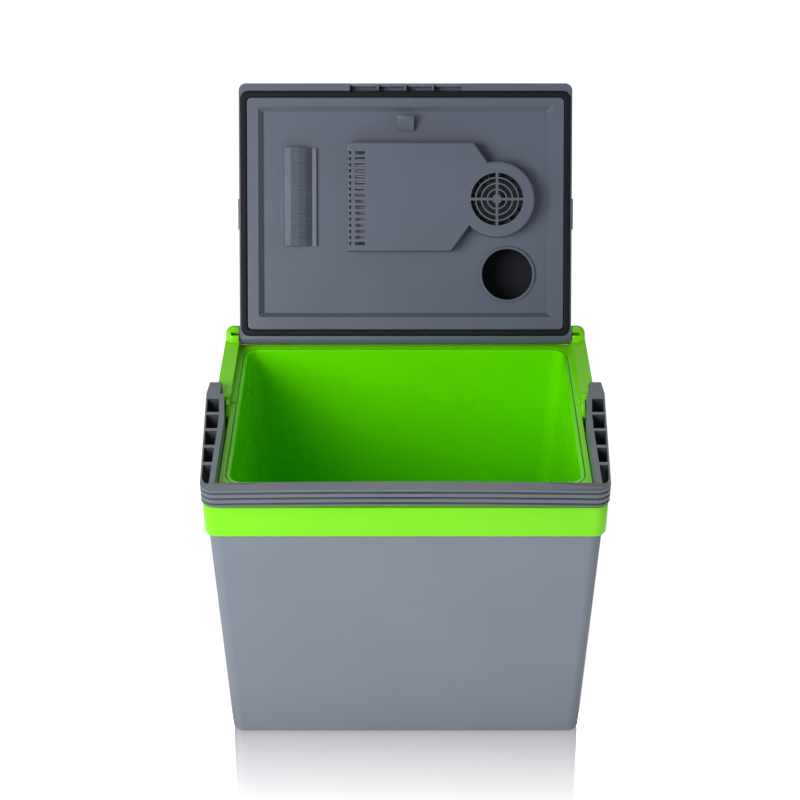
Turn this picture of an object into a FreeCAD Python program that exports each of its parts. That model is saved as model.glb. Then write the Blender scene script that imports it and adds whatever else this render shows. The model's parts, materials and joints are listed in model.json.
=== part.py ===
import FreeCAD, Part
import math
import os
import re
import Sketcher
from FreeCAD import Placement, Rotation, Vector

# A 12 V / mains cool box of about 25 litres: a foamed tub with a lime rim collar, a lid that
# holds the thermoelectric cooling unit, and a U-shaped carrying handle.
# Frame: +X right, +Y to the back, +Z up, origin in the middle of the base at floor level.
# Rest pose: lid open and handle folded forward. Lid pieces are drawn closed, then turned open.

DIMENSIONS = [
    # rim collar
    ("rim_wide", 399.0), ("rim_deep", 300.0), ("rim_corner", 13.0),
    ("band_low", 282.0), ("shelf_high", 318.0), ("seat_high", 331.0), ("rim_high", 340.0),
    ("band_wall", 1.8), ("collar_deck", 6.0),
    ("ledge_half", 184.0), ("ledge_front", -143.5), ("cheek_in", 184.4),
    ("cheek_start", 34.3), ("pivot_wall", 3.3), ("pivot_wall_start", -11.0), ("boss_round", 8.4),
    ("ear_round", 12.3), ("ear_edge", 8.0), ("slot_half", 2.0),
    # outer shell
    ("shell_wide", 393.0), ("shell_deep", 294.0), ("base_wide", 377.0), ("base_deep", 280.0),
    ("shell_high", 308.0), ("shell_wall", 3.0), ("shell_round", 6.0),
    # tub
    ("mouth_half", 173.5), ("mouth_front", -124.0), ("mouth_rear", 118.0), ("mouth_round", 12.0),
    ("tub_floor", 44.0), ("tub_half", 164.0), ("tub_front", -112.0), ("tub_rear", 106.0),
    ("tub_wall", 2.0), ("tub_lip", 5.0),
    # lid, drawn closed
    ("lid_half", 183.5), ("lid_front", -147.8), ("lid_rear", 139.0), ("lid_corner", 8.0),
    ("hinge_back", 131.0), ("hinge_high", 340.3), ("hub_round", 8.0), ("lid_angle", 121.0),
    ("panel_low", 332.3), ("panel_high", 341.0), ("cover_low", 336.6), ("lid_high", 398.0),
    ("cover_wall", 2.8), ("cover_lean", 7.0), ("cover_round", 9.0),
    ("seal_out", 181.6), ("seal_in", 174.9), ("seal_front", -139.4), ("seal_rear", 129.6),
    ("seal_wide", 6.7), ("seal_low", 331.15), ("groove_deep", 4.0),
    ("plug_low", 331.6), ("well_half", 156.5), ("well_edge", 162.5),
    ("well_front", -117.7), ("well_rear", 104.3), ("well_slope", 4.6), ("well_floor", 338.0),
    ("grip_half", 61.5), ("grip_deep", 9.8), ("grip_high", 344.5),
    ("lug_front", -22.4), ("lug_rear", 11.6), ("lug_out", 2.6), ("lug_low", 343.0), ("lug_high", 353.0),
    # cold duct cover
    ("duct_low", 320.0), ("duct_wall", 2.0), ("duct_left", -63.6),
    ("duct_top", -82.1), ("duct_bottom", 36.5),
    ("fan_side", 100.2), ("fan_back", -20.3), ("duct_round", 41.4),
    ("slot_pitch", 6.6), ("slot_wide", 3.4),
    # bottle-neck recess
    ("cup_side", 112.7), ("cup_back", 61.5), ("cup_inner", 28.2), ("cup_wall", 1.6),
    ("cup_bead", 30.9), ("cup_deep", 42.0),
    # curved air deflector
    ("baffle_left", -134.9), ("baffle_right", -98.5), ("baffle_front", -77.2),
    ("baffle_rear", 30.4),
    # cooling unit
    ("pad_side", -8.0), ("pad_back", -20.0), ("pad_size", 40.0), ("pad_thick", 3.8),
    ("sink_half_x", 54.0), ("sink_half_y", 44.0), ("fin_thick", 1.2),
    ("foam_high", 357.0), ("motor_round", 14.0), ("shaft_round", 1.6),
    ("cold_wheel", 34.0), ("hot_wheel", 36.0),
    ("guard_round", 40.0),
    # controls
    ("panel_side", 0.0), ("panel_back", -101.0), ("panel_wide", 92.0), ("panel_deep", 26.0),
    ("knob_wide", 9.0), ("knob_deep", 6.0),
    # carrying handle, folded forward
    ("pivot_back", 13.0), ("pivot_high", 334.0), ("pivot_round", 5.0), ("arm_half_high", 15.5),
    ("arm_out_rear", 208.6), ("arm_out_front", 197.6), ("block_in", 194.2), ("block_front", 4.0),
    ("arm_in_rear", 189.4), ("arm_in_middle", 185.2), ("arm_in_front", 184.6), ("block_round", 4.0),
    ("block_taper", 3.6),
    ("bar_front", -165.0), ("bar_back", -151.8), ("bar_corner", 15.0),
    ("bar_low", 330.2), ("bar_high", 349.4), ("bar_rise", 2.4),
    ("arm_wall", 1.5), ("arm_inner_wall", 5.3), ("arm_floor", 2.0), ("pocket_start", -5.7),
    ("pocket_pitch", 29.0), ("pocket_long", 24.4), ("pocket_end", -152.3),
    ("fin_gap", 2.6), ("fin_step", 6.3), ("fin_inset", 6.5),
]

SCREW_PLACES = [("pad_side - 26", "pad_back - 30"), ("pad_side + 26", "pad_back - 30"),
                ("pad_side - 26", "pad_back + 30"), ("pad_side + 26", "pad_back + 30")]

doc = FreeCAD.newDocument("cool_box")
sheet = doc.addObject("Spreadsheet::Sheet", "Dims")
for row, (alias, value) in enumerate(DIMENSIONS, start=1):
    sheet.set(f"A{row}", alias)
    sheet.set(f"B{row}", str(value))
    sheet.setAlias(f"B{row}", alias)
doc.recompute()
NAMES = {alias for alias, _ in DIMENSIONS}


def bound(expression):
    """The expression with every dimension name pointed at the spreadsheet."""
    def point(match):
        word = match.group()
        return f"Dims.{word}" if word in NAMES else word
    return re.sub(r"[a-z][a-z_]*", point, str(expression))


def number(expression):
    """The expression's value in millimetres or degrees."""
    return float(sheet.evalExpression(bound(expression)))


def minus(first, second):
    return f"({first}) - ({second})"


def unsound(piece):
    """Whether a finished piece has no solid in it or a bad shape."""
    return piece.Shape.isNull() or not piece.Shape.Solids or not piece.Shape.isValid()


class Piece:
    """One PartDesign body, built up from prisms, drums, lofts and turned profiles.

    Every size and place is an expression in the spreadsheet's names. A span is a (low, high)
    pair along the plane's normal axis: Z for "XY", Y for "XZ" and X for "YZ".
    """

    def __init__(self, label):
        self.body = doc.addObject("PartDesign::Body", label)
        self.body.Label = label
        self.count = 0

    def _name(self, kind):
        self.count += 1
        return f"{self.body.Name}_{kind}{self.count}"

    def _sketch(self, plane, level, origin=(0, 0)):
        sketch = self.body.newObject("Sketcher::SketchObject", self._name("sketch"))
        role = f"{plane}_Plane"
        support = [item for item in self.body.Origin.OriginFeatures if item.Role == role][0]
        sketch.AttachmentSupport = [(support, "")]
        sketch.MapMode = "FlatFace"
        sketch.setExpression("AttachmentOffset.Base.x", bound(origin[0]))
        sketch.setExpression("AttachmentOffset.Base.y", bound(origin[1]))
        sketch.setExpression("AttachmentOffset.Base.z", bound(level))
        sketch.Visibility = False
        return sketch

    def _pin(self, sketch, geometry, point, place):
        """Hold one point of the sketch at a bound place."""
        for kind, expression in zip(("DistanceX", "DistanceY"), place):
            constraint = Sketcher.Constraint(kind, -1, 1, geometry, point, number(expression))
            index = sketch.addConstraint(constraint)
            sketch.setExpression(f"Constraints[{index}]", bound(expression))

    def _rounded(self, sketch, xs, ys, radius):
        """A rectangle with round corners: four arcs with held centres and four tangent lines."""
        if radius == 0:
            self._polygon(sketch, [(xs[0], ys[0]), (xs[1], ys[0]), (xs[1], ys[1]), (xs[0], ys[1])])
            return
        size = number(radius)
        corners = [(0, 0, 180), (1, 0, 270), (1, 1, 0), (0, 1, 90)]
        arcs = []
        ends = []
        for i, j, start in corners:
            centre_x = f"({xs[i]}) {'+-'[i]} ({radius})"
            centre_y = f"({ys[j]}) {'+-'[j]} ({radius})"
            middle = Vector(number(centre_x), number(centre_y), 0)
            circle = Part.Circle(middle, Vector(0, 0, 1), size)
            first = math.radians(start)
            arc = sketch.addGeometry(Part.ArcOfCircle(circle, first, first + math.pi / 2), False)
            arcs.append(arc)
            ends.append([middle + size * Vector(math.cos(a), math.sin(a), 0)
                         for a in (first, first + math.pi / 2)])
            self._pin(sketch, arc, 3, (centre_x, centre_y))
        index = sketch.addConstraint(Sketcher.Constraint("Radius", arcs[0], size))
        sketch.setExpression(f"Constraints[{index}]", bound(radius))
        for arc in arcs[1:]:
            sketch.addConstraint(Sketcher.Constraint("Equal", arcs[0], arc))
        for corner in range(4):
            after = (corner + 1) % 4
            side = Part.LineSegment(ends[corner][1], ends[after][0])
            line = sketch.addGeometry(side, False)
            sketch.addConstraint(Sketcher.Constraint("Tangent", arcs[corner], 2, line, 1))
            sketch.addConstraint(Sketcher.Constraint("Tangent", line, 2, arcs[after], 1))

    def _polygon(self, sketch, points):
        places = [Vector(number(x), number(y), 0) for x, y in points]
        first = sketch.GeometryCount
        count = len(points)
        for i in range(count):
            sketch.addGeometry(Part.LineSegment(places[i], places[(i + 1) % count]), False)
        for i in range(count):
            join = Sketcher.Constraint("Coincident", first + i, 2, first + (i + 1) % count, 1)
            sketch.addConstraint(join)
        for i in range(count):
            self._pin(sketch, first + i, 1, points[i])

    def _circle(self, sketch, radius):
        ring = Part.Circle(Vector(0, 0, 0), Vector(0, 0, 1), number(radius))
        circle = sketch.addGeometry(ring, False)
        sketch.addConstraint(Sketcher.Constraint("Coincident", circle, 3, -1, 1))
        index = sketch.addConstraint(Sketcher.Constraint("Radius", circle, number(radius)))
        sketch.setExpression(f"Constraints[{index}]", bound(radius))

    def _sketch_for(self, plane, span, cut, origin=(0, 0)):
        """A prism's sketch, on the face that its pad or pocket grows away from."""
        low, high = span
        level = high if cut else low
        if plane == "XZ":
            level = f"-({low})" if cut else f"-({high})"
        return self._sketch(plane, level, origin)

    def _extrude(self, sketch, span, cut):
        kind = "Pocket" if cut else "Pad"
        feature = self.body.newObject(f"PartDesign::{kind}", self._name(kind.lower()))
        feature.Profile = sketch
        feature.Refine = True
        feature.setExpression("Length", bound(minus(span[1], span[0])))
        return feature

    def block(self, xs, ys, span, radius=0, cut=False, plane="XY", hole=None):
        """A prism on a rectangle. hole is a second rectangle (xs, ys, radius) left out of it."""
        sketch = self._sketch_for(plane, span, cut)
        self._rounded(sketch, xs, ys, radius)
        if hole:
            self._rounded(sketch, *hole)
        return self._extrude(sketch, span, cut)

    def prism(self, points, span, plane="XY", cut=False):
        sketch = self._sketch_for(plane, span, cut)
        self._polygon(sketch, points)
        return self._extrude(sketch, span, cut)

    def drum(self, centre, radii, span, plane="XY", cut=False):
        """A cylinder, or a ring where radii holds two values."""
        sketch = self._sketch_for(plane, span, cut, centre)
        for radius in radii:
            self._circle(sketch, radius)
        return self._extrude(sketch, span, cut)

    def turned(self, points, plane, level, origin):
        """A full turn of an outline about the sketch's own horizontal axis."""
        sketch = self._sketch(plane, level, origin)
        self._polygon(sketch, points)
        feature = self.body.newObject("PartDesign::Revolution", self._name("turned"))
        feature.Profile = sketch
        feature.ReferenceAxis = (sketch, ["H_Axis"])
        feature.Angle = 360
        return feature

    def taper(self, low, high, levels, cut=False):
        """A loft between two rounded rectangles (xs, ys, radius) at two heights."""
        sketches = []
        for outline, level in zip((low, high), levels):
            sketch = self._sketch("XY", level)
            self._rounded(sketch, *outline)
            sketches.append(sketch)
        kind = "SubtractiveLoft" if cut else "AdditiveLoft"
        feature = self.body.newObject(f"PartDesign::{kind}", self._name("loft"))
        feature.Profile = sketches[0]
        feature.Sections = [sketches[1]]
        feature.Ruled = True
        return feature

    def row(self, features, axis, length, count):
        """Repeat features along one of the body's axes."""
        pattern = self.body.newObject("PartDesign::LinearPattern", self._name("row"))
        pattern.Originals = features
        role = f"{axis}_Axis"
        line = [item for item in self.body.Origin.OriginFeatures if item.Role == role][0]
        pattern.Direction = (line, [""])
        pattern.setExpression("Length", bound(length))
        pattern.Occurrences = count
        self.body.Tip = pattern
        return pattern

    def ring(self, features, sketch, count):
        """Repeat features round the middle of a sketch."""
        pattern = self.body.newObject("PartDesign::PolarPattern", self._name("ring"))
        pattern.Originals = features
        pattern.Axis = (sketch, ["N_Axis"])
        pattern.Angle = 360
        pattern.Occurrences = count
        self.body.Tip = pattern
        return pattern

    def mirror(self, features):
        """Repeat features on the other side of the YZ plane."""
        mirrored = self.body.newObject("PartDesign::Mirrored", self._name("mirror"))
        mirrored.Originals = features
        plane = [item for item in self.body.Origin.OriginFeatures if item.Role == "YZ_Plane"][0]
        mirrored.MirrorPlane = (plane, [""])
        self.body.Tip = mirrored
        return mirrored

    def soften(self, radius, chosen):
        """Fillet every edge that the chosen test accepts."""
        doc.recompute()
        base = self.body.Tip
        edges = []
        for i, edge in enumerate(base.Shape.Edges, start=1):
            if chosen(edge):
                edges.append(f"Edge{i}")
        if not edges:
            raise RuntimeError(f"no edge to round on {self.body.Label}")
        fillet = self.body.newObject("PartDesign::Fillet", self._name("fillet"))
        fillet.Base = (base, edges)
        fillet.setExpression("Radius", bound(radius))
        return fillet


def flat_at(level, slack=0.05):
    """A test for edges that lie wholly at one height."""
    height = number(level)

    def test(edge):
        box = edge.BoundBox
        return abs(box.ZMin - height) < slack and abs(box.ZMax - height) < slack
    return test


def centred(half):
    return (f"-({half})", f"{half}")


def group(label, members):
    """Several identical solids that share one node."""
    compound = doc.addObject("Part::Compound", label)
    compound.Label = label
    compound.Links = members
    return compound


def rod(name, radius, length, place, axis):
    """A plain cylinder that starts at a bound place and runs along +X, +Y or +Z."""
    cylinder = doc.addObject("Part::Cylinder", name)
    cylinder.setExpression("Radius", bound(radius))
    cylinder.setExpression("Height", bound(length))
    turns = {"X": Rotation(Vector(0, 1, 0), 90), "Y": Rotation(Vector(1, 0, 0), -90), "Z": Rotation()}
    cylinder.Placement = Placement(Vector(), turns[axis])
    for letter, expression in zip("xyz", place):
        cylinder.setExpression(f"Placement.Base.{letter}", bound(expression))
    return cylinder


def cylinder_pair(label, radius, length, start, back, high):
    """Two equal pins on one left-right line, mirrored about the middle."""
    right = rod(f"{label}_right", radius, length, (start, back, high), "X")
    left = rod(f"{label}_left", radius, length, (f"-({start}) - ({length})", back, high), "X")
    return group(label, [right, left])


# ---------------------------------------------------------------- box

def outer_shell():
    piece = Piece("outer_shell")
    corner = "rim_corner - 1"
    # the foot's rounding in three short steps, then the long tapered wall
    steps = []
    for turn in (0, 30, 60, 90):
        level = f"shell_round * {1 - math.cos(math.radians(turn)):.4f}"
        inset = f"shell_round * {1 - math.sin(math.radians(turn)):.4f}"
        outline = (centred(f"base_wide / 2 - {inset}"), centred(f"base_deep / 2 - {inset}"), corner)
        steps.append((outline, level))
    steps.append(((centred("shell_wide / 2"), centred("shell_deep / 2"), corner), "shell_high"))
    for (low, level), (high, after) in zip(steps, steps[1:]):
        piece.taper(low, high, (level, after))
    inner_top = (centred("shell_wide / 2 - shell_wall"), centred("shell_deep / 2 - shell_wall"),
                 "rim_corner - 4")
    inner_foot = (centred("base_wide / 2 - shell_wall - 3"), centred("base_deep / 2 - shell_wall - 3"),
                  "rim_corner - 4")
    piece.taper(inner_foot, inner_top, ("shell_wall", "shell_high + 1"), cut=True)
    return piece.body


def rim_collar():
    piece = Piece("rim_collar")
    across = centred("rim_wide / 2")
    along = centred("rim_deep / 2")
    inside = "rim_wide / 2 - band_wall"
    # band and shelf
    piece.block(across, along, ("band_low", "shelf_high"), "rim_corner")
    piece.soften("1.2", flat_at("band_low"))
    # sealing ledge, square to the rear
    piece.block(centred("ledge_half"), ("ledge_front", "rim_deep / 2 - 0.5"), ("shelf_high", "seat_high"),
                "6")
    # cheeks beside the lid, with a thin wall and a boss at each handle pivot
    cheek = ("rim_wide / 2", "cheek_in")
    front = "cheek_start"
    rear = "rim_deep / 2"
    for side in ("", "-"):
        outline = [(f"{side}({cheek[1]} - 6)", front), (f"{side}({cheek[0]})", front),
                   (f"{side}({cheek[0]})", f"{rear} - rim_corner"),
                   (f"{side}({cheek[0]} - 4)", f"{rear} - 4"),
                   (f"{side}({cheek[0]} - rim_corner)", rear), (f"{side}({cheek[1]} - 6)", rear)]
        piece.prism(outline, ("shelf_high", "rim_high"))
        reach = sorted((f"{side}(cheek_in - 6)", f"{side}(cheek_in + pivot_wall)"), key=number)
        wall = [("pivot_wall_start", "shelf_high - 1"), ("cheek_start + 1", "shelf_high - 1"),
                ("cheek_start + 1", "rim_high"), ("pivot_wall_start + 9", "rim_high"),
                ("pivot_wall_start", "seat_high")]
        piece.prism(wall, reach, plane="YZ")
        boss = sorted((f"{side}(cheek_in + 1)", f"{side}(block_in - 0.4)"), key=number)
        piece.drum(("pivot_back", "pivot_high"), ["boss_round"], boss, plane="YZ")
        piece.block(boss, ("pivot_back", "cheek_start + 1"), ("shelf_high - 1", "rim_high"))
        # hinge ear with a well-rounded outer edge
        profile = [(f"{side}(cheek_in + 0.3)", "0"), (f"{side}({cheek[0]})", "0")]
        for turn in range(0, 91, 15):
            across_edge = f"{side}({cheek[0]} - ear_edge * {1 - math.cos(math.radians(turn)):.4f})"
            profile.append((across_edge, f"ear_round - ear_edge * {1 - math.sin(math.radians(turn)):.4f}"))
        profile.append((f"{side}(cheek_in + 0.3)", "ear_round"))
        piece.turned(profile, "XZ", "-(hinge_back + 1)", ("0", "hinge_high"))
    # the lid's own space between the cheeks
    piece.block(centred("cheek_in"), ("pivot_wall_start - 1", "rim_deep / 2 + 1"),
                ("seat_high", "rim_high + 20"), cut=True)
    # the sloping back edge that the open lid leans over
    slope = [("hinge_back - 1.1", "seat_high"), ("rim_deep / 2 + 1", "seat_high - 12.6"),
             ("rim_deep / 2 + 1", "seat_high + 1"), ("hinge_back - 1.1", "seat_high + 1")]
    piece.prism(slope, centred("cheek_in"), plane="YZ", cut=True)
    # hollow underside, mouth and the step that carries the tub's flange
    piece.block(centred(inside), centred("rim_deep / 2 - band_wall"),
                ("band_low - 1", "shelf_high - collar_deck"),
                "rim_corner - band_wall", cut=True)
    piece.block(centred("mouth_half + 3"), ("mouth_front - 3", "mouth_rear + 3"),
                ("band_low", "seat_high + 1"), "mouth_round + 3", cut=True)
    piece.block(centred("mouth_half + tub_lip + 0.3"),
                ("mouth_front - tub_lip - 0.3", "mouth_rear + tub_lip + 0.3"),
                ("seat_high - 3", "seat_high + 1"), "mouth_round + 5.3", cut=True)
    # holes for the hinge pins and the handle pins
    piece.drum(("hinge_back", "hinge_high"), ["3.5"], centred("196.2"), plane="YZ", cut=True)
    piece.drum(("pivot_back", "pivot_high"), ["pivot_round"], centred("rim_wide / 2"), plane="YZ", cut=True)
    # the narrow slots that the hinge pins snap down through, leaning to the front
    along_slot = (-math.cos(math.radians(50)), math.sin(math.radians(50)))
    across_slot = (along_slot[1], -along_slot[0])
    corners = []
    for reach, side in ((0, -1), (20, -1), (20, 1), (0, 1)):
        back = f"hinge_back + {reach * along_slot[0]:.4f} + slot_half * {side * across_slot[0]:.4f}"
        rise = f"hinge_high + {reach * along_slot[1]:.4f} + slot_half * {side * across_slot[1]:.4f}"
        corners.append((back, rise))
    piece.prism(corners, ("cheek_in", "193"), plane="YZ", cut=True)
    piece.prism(corners, ("-193", "-cheek_in"), plane="YZ", cut=True)
    return piece.body


def inner_liner():
    piece = Piece("inner_liner")
    wall = "tub_wall"
    top = (centred(f"mouth_half + {wall}"), (f"mouth_front - {wall}", f"mouth_rear + {wall}"),
           f"mouth_round + {wall}")
    foot = (centred(f"tub_half + {wall}"), (f"tub_front - {wall}", f"tub_rear + {wall}"), "20")
    piece.taper(foot, top, ("tub_floor", "seat_high - 2.8"))
    piece.block(centred("mouth_half + tub_lip"), ("mouth_front - tub_lip", "mouth_rear + tub_lip"),
                ("seat_high - 2.8", "seat_high"), "mouth_round + 5")
    inner_top = (centred("mouth_half"), ("mouth_front", "mouth_rear"), "mouth_round")
    inner_foot = (centred("tub_half"), ("tub_front", "tub_rear"), "18")
    piece.taper(inner_foot, inner_top, (f"tub_floor + {wall}", "seat_high"), cut=True)
    mouth = number("mouth_half") + 0.5
    rim = flat_at("seat_high")
    piece.soften("1.6", lambda edge: rim(edge) and abs(edge.BoundBox.XMin) < mouth
                 and abs(edge.BoundBox.XMax) < mouth)
    return piece.body


def body_foam():
    piece = Piece("body_foam")
    gap = "(shell_wall + 0.6)"
    top = (centred(f"shell_wide / 2 - {gap}"), centred(f"shell_deep / 2 - {gap}"), "8")
    foot = (centred(f"base_wide / 2 - {gap} - 3"), centred(f"base_deep / 2 - {gap} - 3"), "8")
    piece.taper(foot, top, ("shell_wall + 0.4", "shell_high"))
    reach = "(tub_wall + 0.4)"
    inner_top = (centred(f"mouth_half + {reach}"), (f"mouth_front - {reach}", f"mouth_rear + {reach}"),
                 "mouth_round + 2")
    inner_foot = (centred(f"tub_half + {reach}"), (f"tub_front - {reach}", f"tub_rear + {reach}"), "20")
    piece.taper(inner_foot, inner_top, ("tub_floor - 0.4", "shell_high + 20"), cut=True)
    return piece.body


def hinge_pins():
    return cylinder_pair("hinge_pins", "3.45", "27", "169", "hinge_back", "hinge_high")


def handle_pins():
    return cylinder_pair("handle_pins", "pivot_round - 0.05", "19.5", "cheek_in + 0.4", "pivot_back",
                         "pivot_high")


# ---------------------------------------------------------------- lid, drawn closed

def lid_cover():
    piece = Piece("lid_cover")
    low = (centred("lid_half"), ("lid_front", "lid_rear"), "lid_corner")
    high = (centred("lid_half - cover_lean"), ("lid_front + cover_lean", "lid_rear - 2"), "lid_corner")
    piece.block(low[0], low[1], ("cover_low", "hinge_high + 10"), "lid_corner")
    piece.taper(low, high, ("hinge_high + 10", "lid_high"))
    piece.soften("cover_round", flat_at("lid_high"))
    wall = "cover_wall"
    inner_low = (centred(f"lid_half - {wall}"), (f"lid_front + {wall}", f"lid_rear - {wall}"),
                 "lid_corner - 2")
    inner_high = (centred(f"lid_half - cover_lean - {wall}"),
                  (f"lid_front + cover_lean + {wall}", f"lid_rear - 2 - {wall}"), "lid_corner - 2")
    piece.block(inner_low[0], inner_low[1], ("cover_low - 1", "hinge_high + 10"), "lid_corner - 2", cut=True)
    piece.taper(inner_low, inner_high, ("hinge_high + 10", f"lid_high - {wall}"), cut=True)
    # room for the hinge bar that belongs to the panel
    piece.block(centred("lid_half + 1"), ("hinge_back - hub_round - 0.2", "lid_rear + 1"),
                ("cover_low - 1", "hinge_high + hub_round + 0.2"), cut=True)
    # the lip in front of the finger grip
    piece.block(centred("grip_half - 0.2"), ("lid_front", "lid_front + 1.5"), ("panel_low", "cover_low + 1"))
    # side lugs for the raised handle
    for side in ("", "-"):
        lug = [(f"{side}(lid_half - 1)", "lug_low"), (f"{side}(lid_half + lug_out)", "lug_low + 2"),
               (f"{side}(lid_half + lug_out)", "lug_high - 2"), (f"{side}(lid_half - 1)", "lug_high")]
        piece.prism(lug, ("lug_front", "lug_rear"), plane="XZ")
    # hot-fan opening, outlet louvres, control bay and the two inlet holes
    piece.drum(("fan_side", "fan_back"), ["guard_round + 0.3"], ("lid_high - 8", "lid_high + 1"), cut=True)
    louvre = piece.block(("pad_side - 52", "pad_side + 52"), ("pad_back - 42", "pad_back - 38.6"),
                         ("lid_high - 8", "lid_high + 1"), "1.5", cut=True)
    piece.row([louvre], "Y", "84", 13)
    piece.block(("panel_side - panel_wide / 2 - 0.3", "panel_side + panel_wide / 2 + 0.3"),
                ("panel_back - panel_deep / 2 - 0.3", "panel_back + panel_deep / 2 + 0.3"),
                ("lid_high - 8", "lid_high + 1"), "4.3", cut=True)
    piece.block(("-118.3", "-89.7"), ("368.7", "385.3"), ("lid_rear - 8", "lid_rear + 1"), "3",
                cut=True, plane="XZ")
    piece.block(("-150.3", "-129.7"), ("368.7", "385.3"), ("lid_rear - 8", "lid_rear + 1"), "3",
                cut=True, plane="XZ")
    return piece.body


def lid_panel():
    piece = Piece("lid_panel")
    piece.block(centred("lid_half"), ("lid_front", "hinge_back"), ("panel_low", "cover_low - 0.2"),
                "lid_corner")
    piece.block(centred("lid_half - 3.2"), ("lid_front + 3.2", "hinge_back"),
                ("panel_low + 2", "panel_high"), "lid_corner - 3")
    # the rounded hinge bar along the back edge
    piece.drum(("hinge_back", "hinge_high"), ["hub_round"], centred("lid_half"), plane="YZ")
    piece.block(("hinge_back - hub_round", "hinge_back + hub_round"),
                ("hinge_high", "hinge_high + hub_round"), centred("lid_half"), plane="YZ")
    piece.block(("hinge_back - hub_round", "hinge_back"),
                ("panel_low", "hinge_high"), centred("lid_half"), plane="YZ")
    # seal groove
    outer = (centred("seal_out + 0.3"), ("seal_front - 0.3", "seal_rear + 0.3"), "lid_corner + 1")
    inner = (centred("seal_in - 0.3"), ("seal_front + seal_wide + 0.3", "seal_rear - seal_wide - 0.3"), "5")
    piece.block(outer[0], outer[1], ("panel_low - 1", "panel_low + groove_deep"), outer[2], cut=True,
                hole=inner)
    # raised centre with its sloping-sided well
    centre = (centred("seal_in - 0.3"), ("seal_front + seal_wide + 0.3", "seal_rear - seal_wide - 0.3"))
    piece.block(centre[0], centre[1], ("plug_low", "panel_low + 1"), "5")
    piece.soften("1.2", flat_at("plug_low"))
    outline = (centred("well_edge"), ("well_front - well_slope", "well_rear + well_slope"), "3")
    floor = (centred("well_half"), ("well_front", "well_rear"), "2")
    piece.taper(outline, floor, ("plug_low - 0.01", "well_floor"), cut=True)
    # weight-saving hollow behind the raised centre's border
    piece.block(centred("seal_in - 2"), ("seal_front + 9", "seal_rear - 9"),
                ("plug_low + 3.2", "panel_high + 1"),
                "5", cut=True, hole=(centred("well_edge + 2.5"), ("well_front - 7", "well_rear + 7"), "3"))
    # notch for the finger grip, and room for the pocket above it
    piece.block(centred("grip_half"), ("lid_front - 1", "lid_front + grip_deep"),
                ("panel_low - 1", "panel_high + 1"), cut=True)
    piece.block(centred("grip_half + 3.4"), ("lid_front - 1", "lid_front + grip_deep + 2.9"),
                ("cover_low - 0.2", "panel_high + 1"), cut=True)
    # openings for the cold fan, the cold block and the bottle recess, and the pin bores
    piece.drum(("fan_side", "fan_back"), ["motor_round + 2"], ("well_floor - 1", "panel_high + 1"), cut=True)
    piece.block(("pad_side - pad_size / 2 - 1", "pad_side + pad_size / 2 + 1"),
                ("pad_back - pad_size / 2 - 1", "pad_back + pad_size / 2 + 1"),
                ("well_floor - 1", "panel_high + 1"), "1", cut=True)
    piece.drum(("cup_side", "cup_back"), ["cup_inner + cup_wall + 0.2"],
               ("well_floor - 1", "panel_high + 1"), cut=True)
    piece.drum(("hinge_back", "hinge_high"), ["3.5"], ("lid_half - 16", "lid_half + 1"), plane="YZ", cut=True)
    piece.drum(("hinge_back", "hinge_high"), ["3.5"], ("-lid_half - 1", "-lid_half + 16"), plane="YZ",
               cut=True)
    return piece.body


def grip_pocket():
    """The channel with three ribs that closes the finger grip behind the cover's front wall."""
    piece = Piece("grip_pocket")
    front = "lid_front + cover_wall + 0.1"
    rear = "lid_front + grip_deep"
    piece.block(centred("grip_half + 2.6"), (front, f"{rear} + 2.4"), ("cover_low", "grip_high + 2.4"))
    piece.block(centred("grip_half"), (f"{front} - 1", rear), ("cover_low - 1", "grip_high"), cut=True)
    web = piece.block(("-31.2", "-29.4"), (front, f"{rear} + 1"), ("cover_low - 0.3", "grip_high + 1"))
    nib = piece.block(("-31.2", "-29.4"), ("lid_front + 1.6", "seal_front - 0.5"),
                      ("panel_low + 0.2", "cover_low - 0.2"))
    piece.row([web, nib], "X", "60.6", 3)
    return piece.body


def lid_gasket():
    piece = Piece("lid_gasket")
    inner = (centred("seal_in"), ("seal_front + seal_wide", "seal_rear - seal_wide"), "5")
    piece.block(centred("seal_out"), ("seal_front", "seal_rear"),
                ("seal_low", "panel_low + groove_deep - 0.2"),
                "lid_corner + 0.7", hole=inner)
    piece.soften("1.8", flat_at("seal_low"))
    return piece.body


def bottle_cup():
    piece = Piece("bottle_cup")
    centre = ("cup_side", "cup_back")
    piece.drum(centre, ["cup_bead"], ("well_floor - 2.4", "well_floor - 0.1"))
    piece.soften("1.1", flat_at("well_floor - 2.4"))
    piece.drum(centre, ["cup_inner + cup_wall"], ("well_floor - 1", "well_floor + cup_deep"))
    piece.drum(centre, ["cup_inner"], ("well_floor - 5", "well_floor + cup_deep - cup_wall"), cut=True)
    return piece.body


def lid_foam():
    piece = Piece("lid_foam")
    piece.block(centred("lid_half - 10"), ("lid_front + 14", "hinge_back - hub_round - 3"),
                ("panel_high + 0.3", "foam_high"), "6")
    piece.drum(("fan_side", "fan_back"), ["motor_round + 2"], ("panel_high - 1", "foam_high + 1"), cut=True)
    piece.block(("pad_side - pad_size / 2 - 1", "pad_side + pad_size / 2 + 1"),
                ("pad_back - pad_size / 2 - 1", "pad_back + pad_size / 2 + 1"),
                ("panel_high - 1", "foam_high + 1"), "1", cut=True)
    piece.drum(("cup_side", "cup_back"), ["cup_inner + cup_wall + 0.4"],
               ("panel_high - 1", "foam_high + 1"), cut=True)
    for x, y in SCREW_PLACES:
        piece.drum((x, y), ["3.6"], ("panel_high - 1", "foam_high + 1"), cut=True)
    return piece.body


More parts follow.
